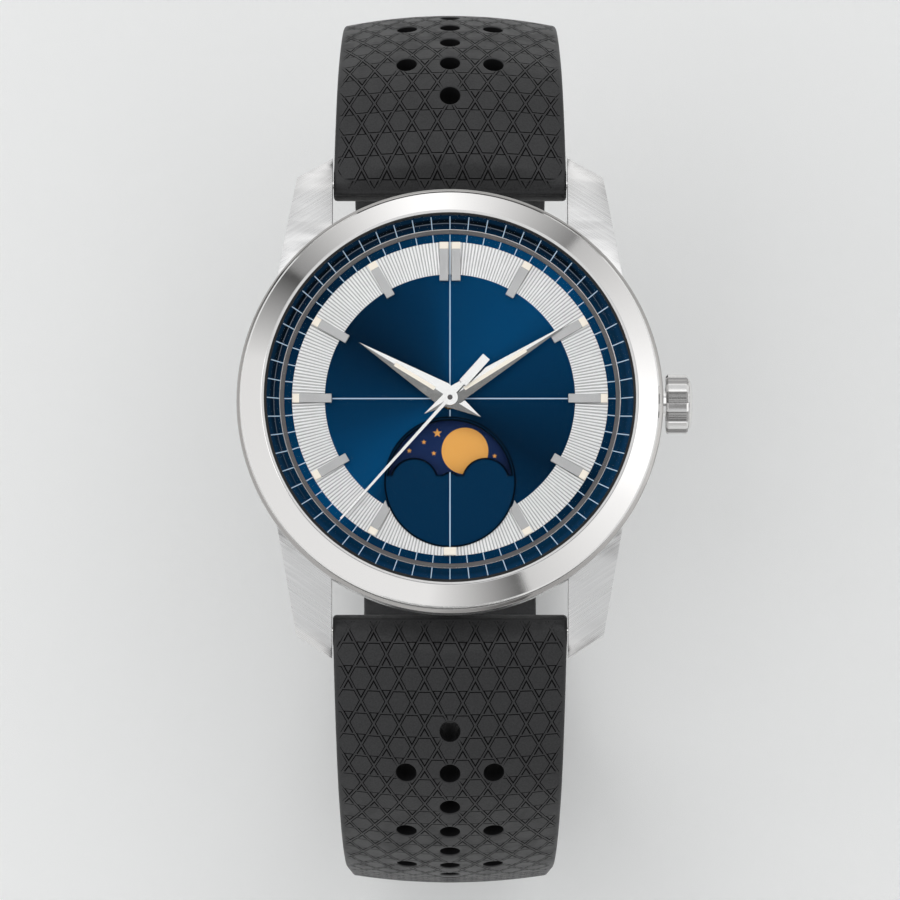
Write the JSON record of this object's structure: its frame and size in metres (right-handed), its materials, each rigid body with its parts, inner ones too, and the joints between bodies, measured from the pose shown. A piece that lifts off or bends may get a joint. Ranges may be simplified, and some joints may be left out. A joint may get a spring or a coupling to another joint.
{
  "type": "moon phase wristwatch",
  "caption": "Round steel wristwatch with a moon phase display, an automatic movement behind a clear back, and a perforated rubber strap with a pin buckle.",
  "frame": {"origin": "centre of the case back's flat outer face, on the axis of the hands", "axes": "+Z leaves the dial, +Y points to 12 o'clock, +X points to 3 o'clock along the crown stem"},
  "size_m": [0.0385, 0.0757, 0.0708],
  "materials": {
    "polished_steel": "polished",
    "brushed_steel": "brushed",
    "sapphire": "clear",
    "seal_rubber": "matte",
    "dark_ring": "satin",
    "spacer": "satin",
    "blue_dial": "sunray",
    "silver_ring": "grooved",
    "lume": "matte",
    "moon_blue": "satin",
    "moon_gold": "satin",
    "plated_brass": "plated",
    "brass": "satin",
    "ruby": "clear",
    "strap_rubber": "matte"
  },
  "bodies": {
    "head": {"case_middle": "brushed_steel", "bezel": "polished_steel", "crystal": "sapphire", "crystal_gasket": "seal_rubber", "rehaut_ring": "dark_ring", "case_back_ring": "polished_steel", "case_back_crystal": "sapphire", "case_back_gasket": "seal_rubber", "movement_ring": "spacer", "crown_tube": "polished_steel", "spring_bar_12": "polished_steel", "spring_bar_6": "polished_steel", "dial_plate": "blue_dial", "hour_ring": "silver_ring", "hour_markers": "polished_steel", "marker_lume": "lume", "moon_plate": "blue_dial", "main_plate": "plated_brass", "barrel_bridge": "plated_brass", "train_bridge": "plated_brass", "balance_cock": "plated_brass", "jewels": "ruby", "balance_spring": "brushed_steel", "rotor_bearing": "brushed_steel"},
    "winding_pinions": {"winding_pinion": "brushed_steel", "sliding_pinion": "brushed_steel"},
    "crown": {"crown": "polished_steel", "crown_gasket": "seal_rubber", "winding_stem": "brushed_steel"},
    "crown_wheel": {"crown_wheel": "brushed_steel"},
    "ratchet_wheel": {"ratchet_wheel": "brushed_steel"},
    "barrel": {"barrel": "brass"},
    "centre_wheel": {"centre_wheel": "brass"},
    "third_wheel": {"third_wheel": "brass"},
    "seconds": {"fourth_wheel": "brass", "seconds_hand": "polished_steel"},
    "escape_wheel": {"escape_wheel": "brushed_steel"},
    "pallet_fork": {"pallet_fork": "brushed_steel"},
    "balance_wheel": {"balance_wheel": "brass"},
    "minutes": {"minute_hand": "polished_steel", "minute_hand_lume": "lume", "cannon_pinion": "brass"},
    "minute_wheel": {"minute_wheel": "brass"},
    "hours": {"hour_hand": "polished_steel", "hour_hand_lume": "lume", "hour_wheel": "brass"},
    "moon": {"moon_disc": "moon_blue", "moon_figures": "moon_gold"},
    "rotor": {"rotor": "brushed_steel"},
    "bar_tip_12_right": {"bar_tip_12_right": "polished_steel"},
    "bar_tip_12_left": {"bar_tip_12_left": "polished_steel"},
    "bar_tip_6_right": {"bar_tip_6_right": "polished_steel"},
    "bar_tip_6_left": {"bar_tip_6_left": "polished_steel"},
    "strap_12": {"strap_12": "strap_rubber", "keeper_fixed": "strap_rubber"},
    "keeper_free": {"keeper_free": "strap_rubber"},
    "buckle": {"buckle_frame": "brushed_steel", "buckle_bar": "brushed_steel"},
    "buckle_tongue": {"buckle_tongue": "brushed_steel"},
    "strap_6": {"strap_6": "strap_rubber"}
  },
  "joints": [
    {"name": "crown_turn", "type": "hinge", "parent": "head", "child": "winding_pinions", "pos_m": [0.018, 0, 0.0034], "axis": [1, 0, 0], "continuous": true},
    {"name": "crown_pull", "type": "slide", "parent": "winding_pinions", "child": "crown", "axis": [1, 0, 0], "range_m": [0, 0.0013]},
    {"name": "crown_wheel_turn", "type": "hinge", "parent": "head", "child": "crown_wheel", "pos_m": [0.0064, 0, 0.0022], "axis": [0, 0, 1], "continuous": true},
    {"name": "ratchet_turn", "type": "hinge", "parent": "head", "child": "ratchet_wheel", "pos_m": [0.00224, 0.00615, 0.0022], "axis": [0, 0, 1], "continuous": true},
    {"name": "seconds_turn", "type": "hinge", "parent": "head", "child": "seconds", "pos_m": [0, 0, 0.003], "axis": [0, 0, 1], "continuous": true},
    {"name": "third_wheel_turn", "type": "hinge", "parent": "head", "child": "third_wheel", "pos_m": [-0.00423, -0.00154, 0.003], "axis": [0, 0, 1], "continuous": true},
    {"name": "centre_wheel_turn", "type": "hinge", "parent": "head", "child": "centre_wheel", "pos_m": [0, 0, 0.003], "axis": [0, 0, 1], "continuous": true},
    {"name": "escape_wheel_turn", "type": "hinge", "parent": "head", "child": "escape_wheel", "pos_m": [-0.00035, -0.00398, 0.003], "axis": [0, 0, 1], "continuous": true},
    {"name": "barrel_turn", "type": "hinge", "parent": "head", "child": "barrel", "pos_m": [0.00224, 0.00615, 0.003], "axis": [0, 0, 1], "continuous": true},
    {"name": "pallet_swing", "type": "hinge", "parent": "head", "child": "pallet_fork", "pos_m": [-0.0017, -0.00591, 0.003], "axis": [0, 0, 1], "range_deg": [-5, 5]},
    {"name": "balance_swing", "type": "hinge", "parent": "head", "child": "balance_wheel", "pos_m": [-0.00432, -0.00775, 0.003], "axis": [0, 0, 1], "range_deg": [-150, 150], "stiffness_Nm_per_rad": 0.00000011},
    {"name": "minute_turn", "type": "hinge", "parent": "head", "child": "minutes", "pos_m": [0, 0, 0.006], "axis": [0, 0, 1], "continuous": true},
    {"name": "minute_wheel_turn", "type": "hinge", "parent": "head", "child": "minute_wheel", "pos_m": [-0.00174, 0.00207, 0.006], "axis": [0, 0, 1], "continuous": true},
    {"name": "hour_turn", "type": "hinge", "parent": "head", "child": "hours", "pos_m": [0, 0, 0.006], "axis": [0, 0, 1], "continuous": true},
    {"name": "moon_turn", "type": "hinge", "parent": "head", "child": "moon", "pos_m": [0, -0.00705, 0.0065], "axis": [0, 0, 1], "continuous": true},
    {"name": "rotor_turn", "type": "hinge", "parent": "head", "child": "rotor", "pos_m": [0, 0, 0.0015], "axis": [0, 0, 1], "continuous": true},
    {"name": "bar_tip_12_right_press", "type": "slide", "parent": "head", "child": "bar_tip_12_right", "axis": [-1, 0, 0], "range_m": [0, 0.0009], "stiffness_N_per_m": 800, "springref_m": -0.0004},
    {"name": "bar_tip_12_left_press", "type": "slide", "parent": "head", "child": "bar_tip_12_left", "axis": [1, 0, 0], "range_m": [0, 0.0009], "stiffness_N_per_m": 800, "springref_m": -0.0004},
    {"name": "bar_tip_6_right_press", "type": "slide", "parent": "head", "child": "bar_tip_6_right", "axis": [-1, 0, 0], "range_m": [0, 0.0009], "stiffness_N_per_m": 800, "springref_m": -0.0004},
    {"name": "bar_tip_6_left_press", "type": "slide", "parent": "head", "child": "bar_tip_6_left", "axis": [1, 0, 0], "range_m": [0, 0.0009], "stiffness_N_per_m": 800, "springref_m": -0.0004},
    {"name": "strap_12_swing", "type": "hinge", "parent": "head", "child": "strap_12", "pos_m": [0, 0.0191, 0.0012], "axis": [1, 0, 0], "range_deg": [0, 40]},
    {"name": "keeper_slide", "type": "slide", "parent": "strap_12", "child": "keeper_free", "axis": [0, -1, 0], "range_m": [0, 0.0045]},
    {"name": "buckle_swing", "type": "hinge", "parent": "strap_12", "child": "buckle", "pos_m": [0, -0.00101, -0.0376], "axis": [1, 0, 0], "range_deg": [-40, 45]},
    {"name": "tongue_swing", "type": "hinge", "parent": "buckle", "child": "buckle_tongue", "pos_m": [0, -0.00101, -0.0376], "axis": [1, 0, 0], "range_deg": [0, 65]},
    {"name": "strap_6_swing", "type": "hinge", "parent": "head", "child": "strap_6", "pos_m": [0, -0.0191, 0.0012], "axis": [-1, 0, 0], "range_deg": [0, 40]}
  ],
  "couplings": [
    {"joint": "crown_wheel_turn", "follows": "crown_turn", "ratio": 0.66667},
    {"joint": "ratchet_turn", "follows": "crown_turn", "ratio": -0.42105},
    {"joint": "third_wheel_turn", "follows": "seconds_turn", "ratio": -0.13333},
    {"joint": "centre_wheel_turn", "follows": "seconds_turn", "ratio": 0.016667},
    {"joint": "escape_wheel_turn", "follows": "seconds_turn", "ratio": -9},
    {"joint": "barrel_turn", "follows": "seconds_turn", "ratio": -0.002381},
    {"joint": "minute_wheel_turn", "follows": "minute_turn", "ratio": -0.33333},
    {"joint": "hour_turn", "follows": "minute_turn", "ratio": 0.083333}
  ]
}
